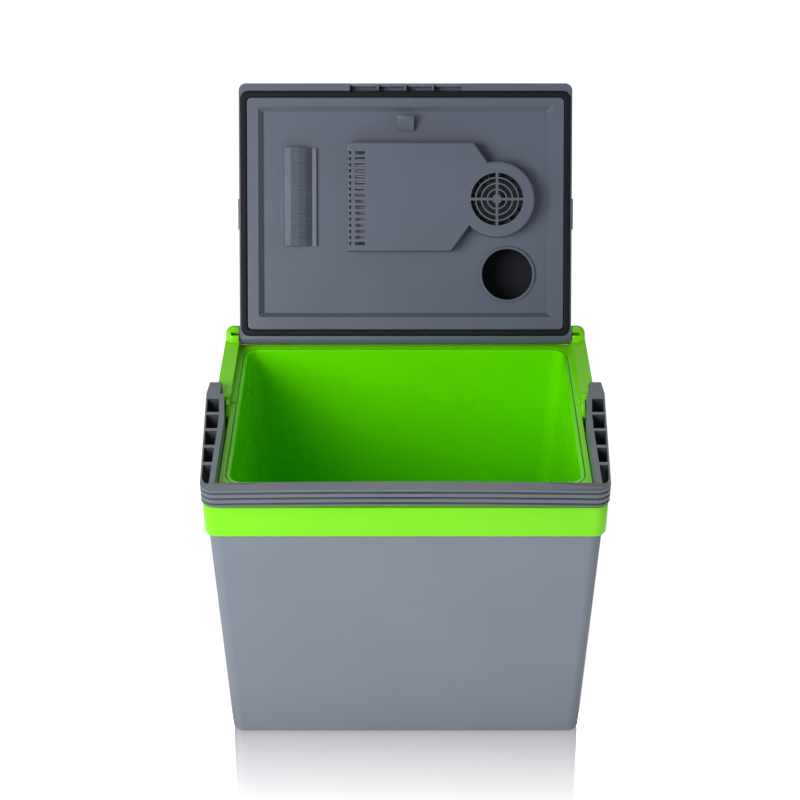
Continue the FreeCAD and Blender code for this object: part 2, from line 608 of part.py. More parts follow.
def duct_outline(inset):
    """The duct cover's straight-sided part, drawn in by a given amount, without its round end."""
    return [(f"duct_left + {inset}", f"duct_top + {inset}"),
            (f"74.7 - {inset} / 2", f"duct_top + {inset}"),
            (f"90.2 - {inset} / 2", f"fan_back - 40.2 + {inset}"),
            (f"90.2 - {inset} / 2", f"fan_back + 30 - {inset}"),
            (f"70.3 - {inset} / 2", f"8.3 - {inset} / 2"),
            (f"49.8 - {inset} / 2", f"duct_bottom - {inset}"),
            (f"duct_left + {inset}", f"duct_bottom - {inset}")]


def duct_cover():
    """A shallow open-backed cover: straight duct and round fan end, louvres and a ring grille."""
    piece = Piece("duct_cover")
    deep = ("duct_low", "well_floor - 0.2")
    piece.prism(duct_outline("0"), deep)
    piece.drum(("fan_side", "fan_back"), ["duct_round"], deep)
    piece.soften("2", flat_at("duct_low"))
    hollow = ("duct_low + duct_wall", "well_floor + 1")
    piece.prism(duct_outline("duct_wall"), hollow, cut=True)
    piece.drum(("fan_side", "fan_back"), ["duct_round - duct_wall"], hollow, cut=True)
    # outlet louvres: one row in the left side wall and one beside it in the face
    first = "duct_top + 9.6"
    side = piece.block(("duct_left - 1", "duct_left + 4"), (first, f"{first} + slot_wide"),
                       ("duct_low - 1", "duct_low + 13"), cut=True)
    piece.row([side], "Y", "15 * slot_pitch", 16)
    face = piece.block(("duct_left + 8", "duct_left + 19"), (first, f"{first} + slot_wide"),
                       ("duct_low - 1", "duct_low + duct_wall + 1"), cut=True)
    piece.row([face], "Y", "15 * slot_pitch", 16)
    # ring grille: four slotted rings, each cut in quarters by the spokes
    for inner, outer in ((5.2, 9.9), (11.4, 16.3), (17.8, 22.6), (24.1, 28.8)):
        sketch = piece._sketch("XY", "duct_low + duct_wall + 1", ("fan_side", "fan_back"))
        quarter_slot(piece, sketch, inner, outer)
        slot = piece.body.newObject("PartDesign::Pocket", piece._name("slot"))
        slot.Profile = sketch
        slot.setExpression("Length", bound("duct_wall + 2"))
        piece.ring([slot], sketch, 4)
    return piece.body


def quarter_slot(piece, sketch, inner, outer, spoke=1.4):
    """One quarter of a ring slot, with half a spoke left at each end."""
    middle = Vector(0, 0, 0)
    turns = []
    for radius in (inner, outer):
        lean = math.asin(spoke / radius)
        turns.append((radius, lean, math.pi / 2 - lean))
    for radius, low, high in turns:
        circle = Part.Circle(middle, Vector(0, 0, 1), radius)
        arc = sketch.addGeometry(Part.ArcOfCircle(circle, low, high), False)
        sketch.addConstraint(Sketcher.Constraint("Coincident", arc, 3, -1, 1))
        sketch.addConstraint(Sketcher.Constraint("Radius", arc, radius))
    for end in (1, 2):
        ends = [radius * Vector(math.cos(t[end - 1]), math.sin(t[end - 1]), 0)
                for radius, t in ((item[0], item[1:]) for item in turns)]
        line = sketch.addGeometry(Part.LineSegment(ends[0], ends[1]), False)
        sketch.addConstraint(Sketcher.Constraint("Coincident", line, 1, 0, end))
        sketch.addConstraint(Sketcher.Constraint("Coincident", line, 2, 1, end))
        sketch.addConstraint(Sketcher.Constraint(("Horizontal", "Vertical")[end - 1], line))


def air_deflector():
    """A hollow baffle: steep on the left, a long ribbed slope to the right, and a tilted right flange."""
    piece = Piece("air_deflector")
    crest = [(0, 0), (1.8, 9.5), (8.6, 13.0), (17.9, 11.4), (24.9, 7.4), (30.9, 1.8), (31.4, 0)]
    hollow = [(1.9, -1), (3.6, 8.3), (9.0, 11.0), (17.2, 9.6), (23.9, 5.8), (28.6, 0.6), (29.0, -1)]
    rib = [(8.8, 13.5), (18.2, 11.9), (25.3, 7.8), (31.2, 2.0), (31.2, 0.4), (24.0, 6.8), (17.6, 10.6),
           (8.8, 12.2)]
    outlines = []
    for profile in (crest, hollow, rib):
        outlines.append([(f"baffle_left + {x}", f"well_floor - 0.2 - ({deep})") for x, deep in profile])
    piece.prism(outlines[0], ("baffle_front", "baffle_rear"), plane="XZ")
    piece.prism(outlines[1], ("baffle_front + 1.8", "baffle_rear - 1.8"), plane="XZ", cut=True)
    raised = piece.prism(outlines[2], ("baffle_front + 4.6", "baffle_front + 5.8"), plane="XZ")
    piece.row([raised], "Y", "97", 24)
    flange = [("baffle_right - 5.4", "well_floor - 0.2"), ("baffle_right - 5.4", "well_floor - 1"),
              ("baffle_right", "well_floor - 3.2"), ("baffle_right", "well_floor - 0.2")]
    piece.prism(flange, ("baffle_front", "baffle_rear"), plane="XZ")
    return piece.body


def latch_hook():
    """A solid tab near the lid's front edge with a small nose at its top."""
    piece = Piece("latch_hook")
    side_view = [("-109.6", "well_floor - 0.2"), ("-109.6", "well_floor - 8.6"), ("-112", "well_floor - 8.6"),
                 ("-112", "well_floor - 12"), ("-108.4", "well_floor - 12"), ("-96", "well_floor - 3.4"),
                 ("-96", "well_floor - 0.2")]
    piece.prism(side_view, centred("9.3"), plane="YZ")
    return piece.body


# ---------------------------------------------------------------- cooling unit, drawn closed

def cold_heatsink():
    piece = Piece("cold_heatsink")
    wide = ("pad_side - sink_half_x + 4", "pad_side + sink_half_x - 6")
    deep = ("pad_back - sink_half_y", "pad_back + sink_half_y")
    piece.block(wide, deep, ("well_floor - 4.2", "well_floor - 0.4"))
    fin = piece.block(wide, ("pad_back - sink_half_y", "pad_back - sink_half_y + fin_thick"),
                      ("duct_low + duct_wall + 1", "well_floor - 4"))
    piece.row([fin], "Y", "2 * sink_half_y - fin_thick", 15)
    return piece.body


def cold_block():
    piece = Piece("cold_block")
    piece.block(("pad_side - pad_size / 2", "pad_side + pad_size / 2"),
                ("pad_back - pad_size / 2", "pad_back + pad_size / 2"),
                ("well_floor - 0.3", "foam_high - pad_thick - 0.2"))
    return piece.body


def peltier_module():
    piece = Piece("peltier_module")
    piece.block(("pad_side - pad_size / 2", "pad_side + pad_size / 2"),
                ("pad_back - pad_size / 2", "pad_back + pad_size / 2"),
                ("foam_high - pad_thick - 0.1", "foam_high - 0.1"))
    return piece.body


def hot_heatsink():
    piece = Piece("hot_heatsink")
    wide = ("pad_side - sink_half_x", "pad_side + sink_half_x")
    deep = ("pad_back - sink_half_y", "pad_back + sink_half_y")
    piece.block(wide, deep, ("foam_high + 0.1", "foam_high + 5"))
    fin = piece.block(wide, ("pad_back - sink_half_y", "pad_back - sink_half_y + fin_thick"),
                      ("foam_high + 4", "foam_high + 30"))
    piece.row([fin], "Y", "2 * sink_half_y - fin_thick", 15)
    return piece.body


def fan_motor():
    piece = Piece("fan_motor")
    centre = ("fan_side", "fan_back")
    piece.drum(centre, ["motor_round"], ("panel_high + 2", "foam_high + 8"))
    piece.block(("fan_side - 24", "fan_side + 24"), ("fan_back - 6", "fan_back + 6"),
                ("foam_high + 0.3", "foam_high + 2.3"), "3")
    piece.drum(centre, ["shaft_round + 0.05"], ("panel_high", "foam_high + 20"), cut=True)
    return piece.body


def fan_shaft():
    piece = Piece("fan_shaft")
    piece.drum(("fan_side", "fan_back"), ["shaft_round"], ("duct_low + 4.6", "lid_high - 12"))
    return piece.body


def blower_wheel(label, radius, low, high, plate_level, blades):
    """A flat plate with straight blades round its edge and a hub on the shaft."""
    piece = Piece(label)
    centre = ("fan_side", "fan_back")
    piece.drum(centre, [radius], (plate_level, f"{plate_level} + 1.4"))
    piece.drum(centre, ["shaft_round + 3.4"], (low, high))
    sketch = piece._sketch("XY", low, centre)
    reach = number(radius)
    corners = [(0.62 * reach, -1.6), (0.98 * reach, 2.2), (0.98 * reach, 2.2 + 1.4), (0.62 * reach, -0.2)]
    piece._polygon(sketch, corners)
    blade = piece._extrude(sketch, (low, high), False)
    piece.ring([blade], sketch, blades)
    piece.drum(centre, ["shaft_round"], (f"{low} - 1", f"{high} + 1"), cut=True)
    return piece.body


def fan_guard():
    """The round grille over the warm-side fan."""
    piece = Piece("fan_guard")
    centre = ("fan_side", "fan_back")
    piece.drum(centre, ["guard_round"], ("lid_high - 2.6", "lid_high - 0.4"))
    for inner, outer in ((6.0, 11.0), (13.0, 18.0), (20.0, 25.0), (27.0, 32.0)):
        sketch = piece._sketch("XY", "lid_high", centre)
        quarter_slot(piece, sketch, inner, outer)
        slot = piece.body.newObject("PartDesign::Pocket", piece._name("slot"))
        slot.Profile = sketch
        slot.Length = 6
        piece.ring([slot], sketch, 4)
    return piece.body


def power_supply():
    piece = Piece("power_supply")
    piece.block(("-158", "-82"), ("-62", "44"), ("foam_high + 1", "foam_high + 2.6"))
    piece.block(("-150", "-112"), ("-52", "-6"), ("foam_high + 2", "foam_high + 28"), "2")
    piece.block(("-104", "-90"), ("-50", "-34"), ("foam_high + 2", "foam_high + 20"), "2")
    piece.drum(("-100", "-8"), ["7"], ("foam_high + 2", "foam_high + 24"))
    piece.drum(("-100", "16"), ["7"], ("foam_high + 2", "foam_high + 24"))
    piece.block(("-150", "-120"), ("8", "34"), ("foam_high + 2", "foam_high + 18"), "2")
    return piece.body


def control_panel():
    piece = Piece("control_panel")
    piece.block(("panel_side - panel_wide / 2", "panel_side + panel_wide / 2"),
                ("panel_back - panel_deep / 2", "panel_back + panel_deep / 2"),
                ("lid_high - 3", "lid_high - 0.5"), "4")
    piece.soften("0.6", flat_at("lid_high - 0.5"))
    piece.block(("panel_side - 11", "panel_side + 11"), ("panel_back - 4", "panel_back + 4"),
                ("lid_high - 4", "lid_high + 1"), "1", cut=True)
    for place in ("panel_side - 30", "panel_side + 30"):
        piece.drum((place, "panel_back"), ["2.55"], ("lid_high - 4", "lid_high + 1"), cut=True)
    return piece.body


def mode_switch():
    piece = Piece("mode_switch")
    piece.block(("panel_side - knob_wide / 2", "panel_side + knob_wide / 2"),
                ("panel_back - knob_deep / 2", "panel_back + knob_deep / 2"),
                ("lid_high - 5", "lid_high + 1.2"), "0.8")
    return piece.body


def control_board():
    piece = Piece("control_board")
    piece.block(("panel_side - 42", "panel_side + 42"), ("panel_back - 11", "panel_back + 11"),
                ("lid_high - 12", "lid_high - 10.4"))
    piece.block(("panel_side - 12", "panel_side + 12"), ("panel_back - 4", "panel_back + 4"),
                ("lid_high - 11", "lid_high - 5.4"))
    piece.block(("panel_side - 38", "panel_side - 22"), ("panel_back - 8", "panel_back - 2"),
                ("lid_high - 16", "lid_high - 11"))
    return piece.body


def led_lenses():
    lenses = []
    for name, place in (("led_left", "panel_side - 30"), ("led_right", "panel_side + 30")):
        lenses.append(rod(name, "2.5", "3", (place, "panel_back", "lid_high - 3.4"), "Z"))
    return group("led_lenses", lenses)


def socket(label, xs, round_pins):
    """A recessed inlet in the lid's back wall, with two contact pins."""
    piece = Piece(label)
    low, high = xs
    piece.block((low, high), ("369", "385"), ("lid_rear - 20", "lid_rear - 1.6"), "2.7", plane="XZ")
    piece.block((f"{low} + 3", f"{high} - 3"), ("372", "382"), ("lid_rear - 16", "lid_rear"), "3.5",
                plane="XZ", cut=True)
    middle = f"(({low}) + ({high})) / 2"
    for offset in ("-4", "4"):
        if round_pins:
            piece.drum((f"{middle} + {offset}", "377"), ["1.2"], ("lid_rear - 17", "lid_rear - 6"),
                       plane="XZ")
        else:
            piece.block((f"{middle} + {offset} - 0.6", f"{middle} + {offset} + 0.6"), ("375", "379"),
                        ("lid_rear - 17", "lid_rear - 6"), plane="XZ")
    return piece.body


def wire(name, points, radius):
    """A plain inner lead: straight runs along the axes with a ball at each corner."""
    runs = []
    for start, end in zip(points, points[1:]):
        low = Vector(*[number(value) for value in start])
        high = Vector(*[number(value) for value in end])
        run = Part.makeCylinder(radius, (high - low).Length, low, high - low)
        runs.append(run)
        runs.append(Part.makeSphere(radius, high))
    shape = runs[0].multiFuse(runs[1:]).removeSplitter()
    feature = doc.addObject("Part::Feature", name)
    feature.Shape = shape
    return feature


def wiring():
    """Leads from the inlets to the supply, and from the supply to the module, fan and board."""
    over = "foam_high + 33"
    leads = [
        wire("lead_mains", [("-140", "118", "377"), ("-140", "60", "377"), ("-140", "60", over),
                            ("-140", "36", over)], 1.6),
        wire("lead_battery", [("-104", "118", "377"), ("-104", "52", "377"), ("-104", "52", over),
                              ("-104", "40", over)], 1.6),
        wire("lead_board", [("-70", "-80", over), ("-30", "-80", over), ("-30", "-92", over)], 1.2),
        wire("lead_fan", [("60", "-76", "foam_high + 6"), ("100.2", "-76", "foam_high + 6"),
                          ("100.2", "-37", "foam_high + 6")], 1.2),
    ]
    return group("wiring", leads)


def screw_group(label, places, low, length, radius):
    """Pan-head screws that point up into the closed lid."""
    screws = []
    for i, (x, y) in enumerate(places):
        shank = rod(f"{label}_shank{i}", radius, length, (x, y, low), "Z")
        head = rod(f"{label}_head{i}", f"2 * {radius}", "1.6", (x, y, f"{low} - 1.6"), "Z")
        screw = doc.addObject("Part::Fuse", f"{label}_{i}")
        screw.Base = head
        screw.Tool = shank
        screws.append(screw)
    return group(label, screws)


def heatsink_screws():
    return screw_group("heatsink_screws", SCREW_PLACES, "panel_high + 2", "14", "1.6")


# ---------------------------------------------------------------- handle, folded forward

def outer_edge(back):
    """The x of an arm's straight outer edge at a given y."""
    share = f"(pivot_back - ({back})) / (pivot_back - bar_front)"
    return f"arm_out_rear - (arm_out_rear - arm_out_front) * {share}"


def inner_edge(back):
    """The x of an arm's inner edge at a given y: a straight run in two parts."""
    place = number(back)
    middle = -43.0
    if place >= middle:
        share = f"(block_front - ({back})) / (block_front + 43)"
        return f"arm_in_rear - (arm_in_rear - arm_in_middle) * {share}"
    share = f"(-43 - ({back})) / (-43 - bar_back)"
    return f"arm_in_middle - (arm_in_middle - arm_in_front) * {share}"


def handle_plan(label, inset):
    """The handle's plan outline without its inside, pulled in by an inset, over its full height."""
    piece = Piece(label)
    rear = "pivot_back + arm_half_high + 2"
    front = f"bar_front + {inset}"
    right = [(f"{outer_edge(place)} - {inset}", place) for place in (front, "block_front")]
    right.append((f"{outer_edge(rear)} - block_taper - {inset}", rear))
    left = [(f"-({x})", y) for x, y in reversed(right)]
    piece.prism(right + left, ("pivot_high - 30", "pivot_high + 30"))
    corner_y = number(front)
    piece.soften(f"bar_corner - {inset} / 2",
                 lambda edge: edge.BoundBox.ZLength > 50 and abs(edge.BoundBox.YMin - corner_y) < 0.1)
    return piece.body


def arched_strip(piece, half, levels, rise, span, cut=False):
    """A strip across the handle between two heights, bowed up in the middle."""
    sketch = piece._sketch_for("XZ", span, cut)
    side = number(half)
    lift = number(rise)
    low, high = [number(level) for level in levels]
    curves = []
    for level in (low, high):
        ends = (Vector(-side, level, 0), Vector(side, level, 0))
        curves.append(Part.Arc(ends[0], Vector(0, level + lift, 0), ends[1]))
    for curve in curves:
        sketch.addGeometry(curve, False)
    for x in (-side, side):
        sketch.addGeometry(Part.LineSegment(Vector(x, low, 0), Vector(x, high, 0)), False)
    return piece._extrude(sketch, span, cut)


def handle():
    front = "bar_front - 1"
    rear = "pivot_back + arm_half_high + 2"
    # side view: deep arms and a shallower bowed bar between them
    side_view = Piece("handle_side_view")
    arched_strip(side_view, "215", ("bar_low", "bar_high"), "bar_rise", (front, "bar_back"))
    arm = [("bar_back - 1", "bar_low + 0.5"), ("bar_back + 12", "pivot_high - arm_half_high"),
           ("pivot_back", "pivot_high - arm_half_high"), ("pivot_back", "pivot_high + arm_half_high"),
           ("bar_back - 1", "pivot_high + arm_half_high")]
    for reach in (("-215", "-170"), ("170", "215")):
        side_view.prism(arm, reach, plane="YZ")
        side_view.drum(("pivot_back", "pivot_high"), ["arm_half_high"], reach, plane="YZ")
        side_view.block(("pivot_back - 9", "pivot_back + arm_half_high"),
                        ("pivot_high - 5", "pivot_high + arm_half_high"), reach, "block_round", plane="YZ")
    # plan view: outline, then the space between the arms
    plan = handle_plan("handle_plan", "0")
    space = Piece("handle_space")
    right = [(inner_edge("bar_back"), "bar_back"), (inner_edge("-43"), "-43"),
             (inner_edge("block_front"), "block_front"), ("block_in", "block_front"), ("block_in", rear)]
    left = [(f"-({x})", y) for x, y in reversed(right)]
    space.prism(right + left, ("pivot_high - 31", "pivot_high + 31"))
    # the grooves between the grip's fins run round the front and both corners
    grooves = Piece("handle_groove_strips")
    for step in range(3):
        low = f"bar_high - 2.4 - fin_gap - {step} * fin_step"
        strip = (low, f"{low} + fin_gap")
        arched_strip(grooves, "215", strip, "bar_rise", (front, "bar_front + 26"))
    core = handle_plan("handle_core", "fin_inset")
    tools = {
        "handle_outer": ("Part::Common", side_view.body, plan),
        "handle_blank": ("Part::Cut", "handle_outer", space.body),
        "handle_grooves": ("Part::Cut", grooves.body, core),
        "handle_finned": ("Part::Cut", "handle_blank", "handle_grooves"),
    }
    made = {}
    for name, (kind, base, tool) in tools.items():
        step = doc.addObject(kind, name)
        step.Base = made.get(base, base) if isinstance(base, str) else base
        step.Tool = made.get(tool, tool) if isinstance(tool, str) else tool
        made[name] = step
    # open pockets along the top of each arm, and the pivot holes
    pockets = Piece("handle_pockets")
    depth = ("pivot_high - arm_half_high + arm_floor", "pivot_high + arm_half_high + 5")
    for side in ("", "-"):
        for index in range(5):
            near = f"pocket_start - {index} * pocket_pitch"
            far = f"{near} - pocket_long" if index < 4 else "pocket_end"
            outline = [(f"{side}({outer_edge(near)} - arm_wall)", near)]
            if index == 4:
                outline += [(f"{side}({outer_edge(far + ' + 9')} - arm_wall)", f"{far} + 9"),
                            (f"{side}({outer_edge(far)} - arm_wall - 1.6)", f"{far} + 3.2"),
                            (f"{side}({outer_edge(far)} - arm_wall - 4.6)", far)]
            else:
                outline += [(f"{side}({outer_edge(far)} - arm_wall)", far)]
            outline += [(f"{side}({inner_edge(far)} + arm_inner_wall)", far),
                        (f"{side}({inner_edge(near)} + arm_inner_wall)", near)]
            pockets.prism(outline, depth)
    bores = rod("handle_bores", "pivot_round", "500", ("-250", "pivot_back", "pivot_high"), "X")
    removed = doc.addObject("Part::MultiFuse", "handle_removed")
    removed.Shapes = [pockets.body, bores]
    whole = doc.addObject("Part::Cut", "handle")
    whole.Label = "handle"
    whole.Base = made["handle_finned"]
    whole.Tool = removed
    return whole


def handle_caps():
    """The flush discs that close the handle's pivot holes."""
    return cylinder_pair("handle_caps", "pivot_round - 0.1", "2.2", "arm_out_rear - 3.6", "pivot_back",
                         "pivot_high")


# ---------------------------------------------------------------- build and write

def turn_open(piece):
    """Swing a lid piece from its closed place to the open rest pose."""
    centre = Vector(0, number("hinge_back"), number("hinge_high"))
    piece.Placement = Placement(Vector(), Rotation(Vector(1, 0, 0), -number("lid_angle")), centre)


BOX = [outer_shell, rim_collar, inner_liner, body_foam, hinge_pins, handle_pins]
LID = [lid_cover, lid_panel, grip_pocket, lid_gasket, bottle_cup, lid_foam, duct_cover, air_deflector,
       latch_hook, cold_heatsink, cold_block, peltier_module, hot_heatsink, fan_motor, fan_shaft, fan_guard,
       power_supply, control_panel, mode_switch, control_board, led_lenses, wiring, heatsink_screws]
HANDLE = [handle, handle_caps]

nodes = [make() for make in BOX + HANDLE]
lid_nodes = [make() for make in LID]
lid_nodes.append(blower_wheel("cold_impeller", "cold_wheel", "duct_low + 5", "well_floor - 1.6",
                              "well_floor - 3", 13))
lid_nodes.append(blower_wheel("hot_impeller", "hot_wheel", "foam_high + 12", "lid_high - 9",
                              "foam_high + 12", 15))
lid_nodes.append(socket("mains_inlet", ("-150", "-130"), True))
lid_nodes.append(socket("battery_inlet", ("-118", "-90"), False))
doc.recompute()
for node in lid_nodes:
    turn_open(node)
nodes += lid_nodes
doc.recompute()

failed = [item.Name for item in doc.Objects if {"Invalid", "Error"} & set(item.State)]
failed += [node.Label for node in nodes if unsound(node)]
if failed:
    raise RuntimeError(f"these objects failed: {failed}")

os.makedirs("parts", exist_ok=True)
for node in nodes:
    node.Shape.exportStep(f"parts/{node.Label}.step")
    box = node.Shape.BoundBox
    print(f"{node.Label}: {len(node.Shape.Solids)} solid(s), {node.Shape.Volume / 1000:.1f} cm3, "
          f"y {box.YMin:.1f}..{box.YMax:.1f}, z {box.ZMin:.1f}..{box.ZMax:.1f}")
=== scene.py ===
"""Looks for the cool box: materials, softened edges, floor, light and camera. Lengths are in metres."""

import json
import math

import bpy
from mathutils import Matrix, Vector

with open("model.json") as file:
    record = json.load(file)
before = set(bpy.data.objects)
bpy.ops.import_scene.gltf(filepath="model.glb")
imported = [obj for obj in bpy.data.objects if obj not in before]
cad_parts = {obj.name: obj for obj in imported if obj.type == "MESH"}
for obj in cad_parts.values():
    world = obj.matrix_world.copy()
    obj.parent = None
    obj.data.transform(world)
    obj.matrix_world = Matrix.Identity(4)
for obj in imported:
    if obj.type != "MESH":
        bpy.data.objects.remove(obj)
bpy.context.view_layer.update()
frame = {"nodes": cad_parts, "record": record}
nodes = frame["nodes"]
scene = bpy.context.scene
scene.view_settings.view_transform = "Standard"


# ---------------------------------------------------------------- colours and materials

def linear(red, green, blue):
    """An 8-bit display colour as a linear RGBA value."""
    def convert(value):
        share = value / 255
        return share / 12.92 if share <= 0.04045 else ((share + 0.055) / 1.055) ** 2.4
    return (convert(red), convert(green), convert(blue), 1.0)


class Shader:
    """A Principled material with helpers for the procedural detail on top of it."""

    def __init__(self, name, roughness=0.5, specular=0.5, **sockets):
        self.material = bpy.data.materials.new(name)
        self.material.use_nodes = True
        self.tree = self.material.node_tree
        self.shader = self.tree.nodes["Principled BSDF"]
        self.shader.inputs["Roughness"].default_value = roughness
        self.shader.inputs["Specular IOR Level"].default_value = specular
        for socket, value in sockets.items():
            self.shader.inputs[socket.replace("_", " ")].default_value = value
        self.place = self.node("TexCoord").outputs["Object"]

    def node(self, kind, **values):
        made = self.tree.nodes.new(f"ShaderNode{kind}")
        for key, value in values.items():
            if hasattr(made, key):
                setattr(made, key, value)
            else:
                made.inputs[key.replace("_", " ")].default_value = value
        return made

    def link(self, output, socket):
        self.tree.links.new(output, socket)

    def noise(self, scale, detail=2.0, stretch=None):
        texture = self.node("TexNoise", Scale=scale, Detail=detail)
        source = self.place
        if stretch:
            mapping = self.node("Mapping", Scale=stretch)
            self.link(source, mapping.inputs["Vector"])
            source = mapping.outputs["Vector"]
        self.link(source, texture.inputs["Vector"])
        return texture.outputs["Fac"]

    def ramp(self, factor, low, high, first, last):
        """Maps a factor between two positions onto two colours or grey values."""
        ramp = self.node("ValToRGB")
        ramp.color_ramp.elements[0].position = low
        ramp.color_ramp.elements[1].position = high
        for element, value in zip(ramp.color_ramp.elements, (first, last)):
            element.color = value if hasattr(value, "__len__") else (value, value, value, 1)
        self.link(factor, ramp.inputs["Fac"])
        return ramp.outputs["Color"]

    def colour(self, first, last, scale=9.0, detail=3.0):
        """Slow drift between two close colours over the whole moulding."""
        mixed = self.ramp(self.noise(scale, detail), 0.3, 0.7, first, last)
        self.link(mixed, self.shader.inputs["Base Color"])

    def sheen_drift(self, low, high, scale=14.0):
        """Uneven gloss, as handling and moulding leave it."""
        self.link(self.ramp(self.noise(scale, 4.0), 0.3, 0.75, low, high), self.shader.inputs["Roughness"])

    def grain(self, scale, height, strength=1.0, detail=2.0, stretch=None):
        """Fine moulded texture as a bump of a real height in metres."""
        bump = self.node("Bump", Strength=strength, Distance=height)
        self.link(self.noise(scale, detail, stretch), bump.inputs["Height"])
        self.link(bump.outputs["Normal"], self.shader.inputs["Normal"])


def shade(colour, share):
    """The same colour, scaled in brightness."""
    return tuple(channel * share for channel in colour[:3]) + (1.0,)


def plastic(name, colour, rough, grain_scale, grain_height, drift=0.06, specular=0.5):
    """A moulded surface: its colour drifts by a share either way, and its grain has a real height."""
    made = Shader(name, rough, specular)
    made.colour(shade(colour, 1 - drift), shade(colour, 1 + drift))
    made.sheen_drift(rough - 0.05, rough + 0.06)
    made.grain(grain_scale, grain_height)
    return made.material


PLASTIC_GRAIN = 1500
METAL_GRAIN = 2500

SHELL = linear(118, 125, 138)
PANEL = linear(94, 100, 117)
HANDLE = linear(99, 106, 115)
MATERIALS = {
    "shell_grey": plastic("moulded_grey", SHELL, 0.52, PLASTIC_GRAIN, 0.00006, 0.03),
    "cover_grey": plastic("lid_grey", SHELL, 0.52, PLASTIC_GRAIN, 0.00006),
    "handle_grey": plastic("cap_grey", HANDLE, 0.45, PLASTIC_GRAIN, 0.00004),
    "panel_grey": plastic("panel_grey", PANEL, 0.5, 1200, 0.00005),
    "lime_collar": plastic("lime_gloss", linear(126, 226, 4), 0.3, 900, 0.00002, 0.03, 0.3),
    "lime_liner": plastic("lime_tub", linear(106, 232, 0), 0.25, 500, 0.00002, 0.03, 0.3),
    "seal_rubber": plastic("seal_black", linear(22, 24, 31), 0.6, 2200, 0.00005, specular=0.2),
    # The foam is painted darker than its own cream, as painted shade where it shows through the louvre
    # slots.
    "foam": plastic("foam_shade_darkened", linear(120, 114, 99), 0.9, 900, 0.0003),
    "pin_steel": plastic("steel", linear(170, 172, 175), 0.3, METAL_GRAIN, 0.00002),
    "sink_aluminium": plastic("aluminium", linear(150, 152, 158), 0.4, METAL_GRAIN, 0.00002),
    "ceramic_white": plastic("ceramic", linear(230, 230, 224), 0.4, 2500, 0.00002),
    "inner_black": plastic("matt_black", linear(38, 41, 45), 0.5, PLASTIC_GRAIN, 0.00005),
    "board_green": plastic("circuit_green", linear(38, 98, 62), 0.4, 900, 0.00005),
    "lens_green": plastic("lens_green", linear(90, 200, 110), 0.15, 900, 0.00001),
    "lead_rubber": plastic("lead_black", linear(36, 37, 38), 0.5, 2500, 0.00003),
    "knob_grey": plastic("knob_grey", linear(150, 158, 165), 0.4, PLASTIC_GRAIN, 0.00004),
}
for name in ("pin_steel", "sink_aluminium"):
    MATERIALS[name].node_tree.nodes["Principled BSDF"].inputs["Metallic"].default_value = 1.0

# The open lid leans back past upright, and this points from its inner face into it.
LID_LEAN = math.radians(31)
LID_NORMAL = Vector((0, math.cos(LID_LEAN), -math.sin(LID_LEAN)))
CUP_RIM = min(LID_NORMAL.dot(vertex.co) for vertex in nodes["bottle_cup"].data.vertices)
# Painted highlight and painted shade in the cup: its colour runs from a lightened rim to near black between
# these depths below the rim.
CUP_FADE = (0.002, 0.012)
CUP_RIM_HIGHLIGHT_SHARE = 1.1
CUP_DEEP_SHADE_SHARE = 0.16


def cup_plastic():
    """The panel's grey, a touch lighter at the rim as a painted highlight, then falling off to near black
    down the recess as painted shade where no light reaches.
    """
    made = Shader("cup_grey", 0.55, 0.2)
    depth = made.node("VectorMath", operation="DOT_PRODUCT")
    made.link(made.place, depth.inputs[0])
    depth.inputs[1].default_value = LID_NORMAL
    fade = made.node("MapRange")
    made.link(depth.outputs["Value"], fade.inputs["Value"])
    for socket, below_rim in zip(("From Min", "From Max"), CUP_FADE):
        fade.inputs[socket].default_value = CUP_RIM + below_rim
    rim, deep = shade(PANEL, CUP_RIM_HIGHLIGHT_SHARE), shade(PANEL, CUP_DEEP_SHADE_SHARE)
    mixed = made.ramp(fade.outputs["Result"], 0.0, 1.0, rim, deep)
    made.link(mixed, made.shader.inputs["Base Color"])
    made.grain(1200, 0.00005)
    return made.material


# The pockets along the handle's arms lie between these two places in Y, and the walls across them face
# along Y by at least this much.
POCKETS_FRONT = -0.1515
POCKETS_REAR = -0.0045
CROSSWISE = 0.8
POCKET_SHARE = 0.35


def pocketed_plastic():
    """The handle's grey, darker on the short walls across its pockets, where little light reaches."""
    made = Shader("handle_grey", 0.45)
    facing = made.node("SeparateXYZ")
    made.link(made.node("TexCoord").outputs["Normal"], facing.inputs["Vector"])
    parts = made.node("SeparateXYZ")
    made.link(made.place, parts.inputs["Vector"])
    turned = made.node("Math", operation="ABSOLUTE")
    made.link(facing.outputs["Y"], turned.inputs[0])
    tests = []
    for source, kind, bound in ((turned.outputs["Value"], "GREATER_THAN", CROSSWISE),
                                (parts.outputs["Y"], "GREATER_THAN", POCKETS_FRONT),
                                (parts.outputs["Y"], "LESS_THAN", POCKETS_REAR)):
        test = made.node("Math", operation=kind)
        made.link(source, test.inputs[0])
        test.inputs[1].default_value = bound
        tests.append(test.outputs["Value"])
    share = tests[0]
    for other in tests[1:]:
        both = made.node("Math", operation="MULTIPLY")
        made.link(share, both.inputs[0])
        made.link(other, both.inputs[1])
        share = both.outputs["Value"]
    mixed = made.ramp(share, 0.0, 1.0, HANDLE, shade(HANDLE, POCKET_SHARE))
    made.link(mixed, made.shader.inputs["Base Color"])
    made.sheen_drift(0.4, 0.51)
    made.grain(PLASTIC_GRAIN, 0.00004)
    return made.material


SLOTS = {part["node"]: part["material_slot"] for part in frame["record"]["subparts"]}
MATERIALS["cup_grey"] = cup_plastic()
SLOTS["bottle_cup"] = "cup_grey"
MATERIALS["pocketed_grey"] = pocketed_plastic()
SLOTS["handle"] = "pocketed_grey"
for name, item in nodes.items():
    item.data.materials.clear()
    item.data.materials.append(MATERIALS[SLOTS[name]])


# ---------------------------------------------------------------- softened edges

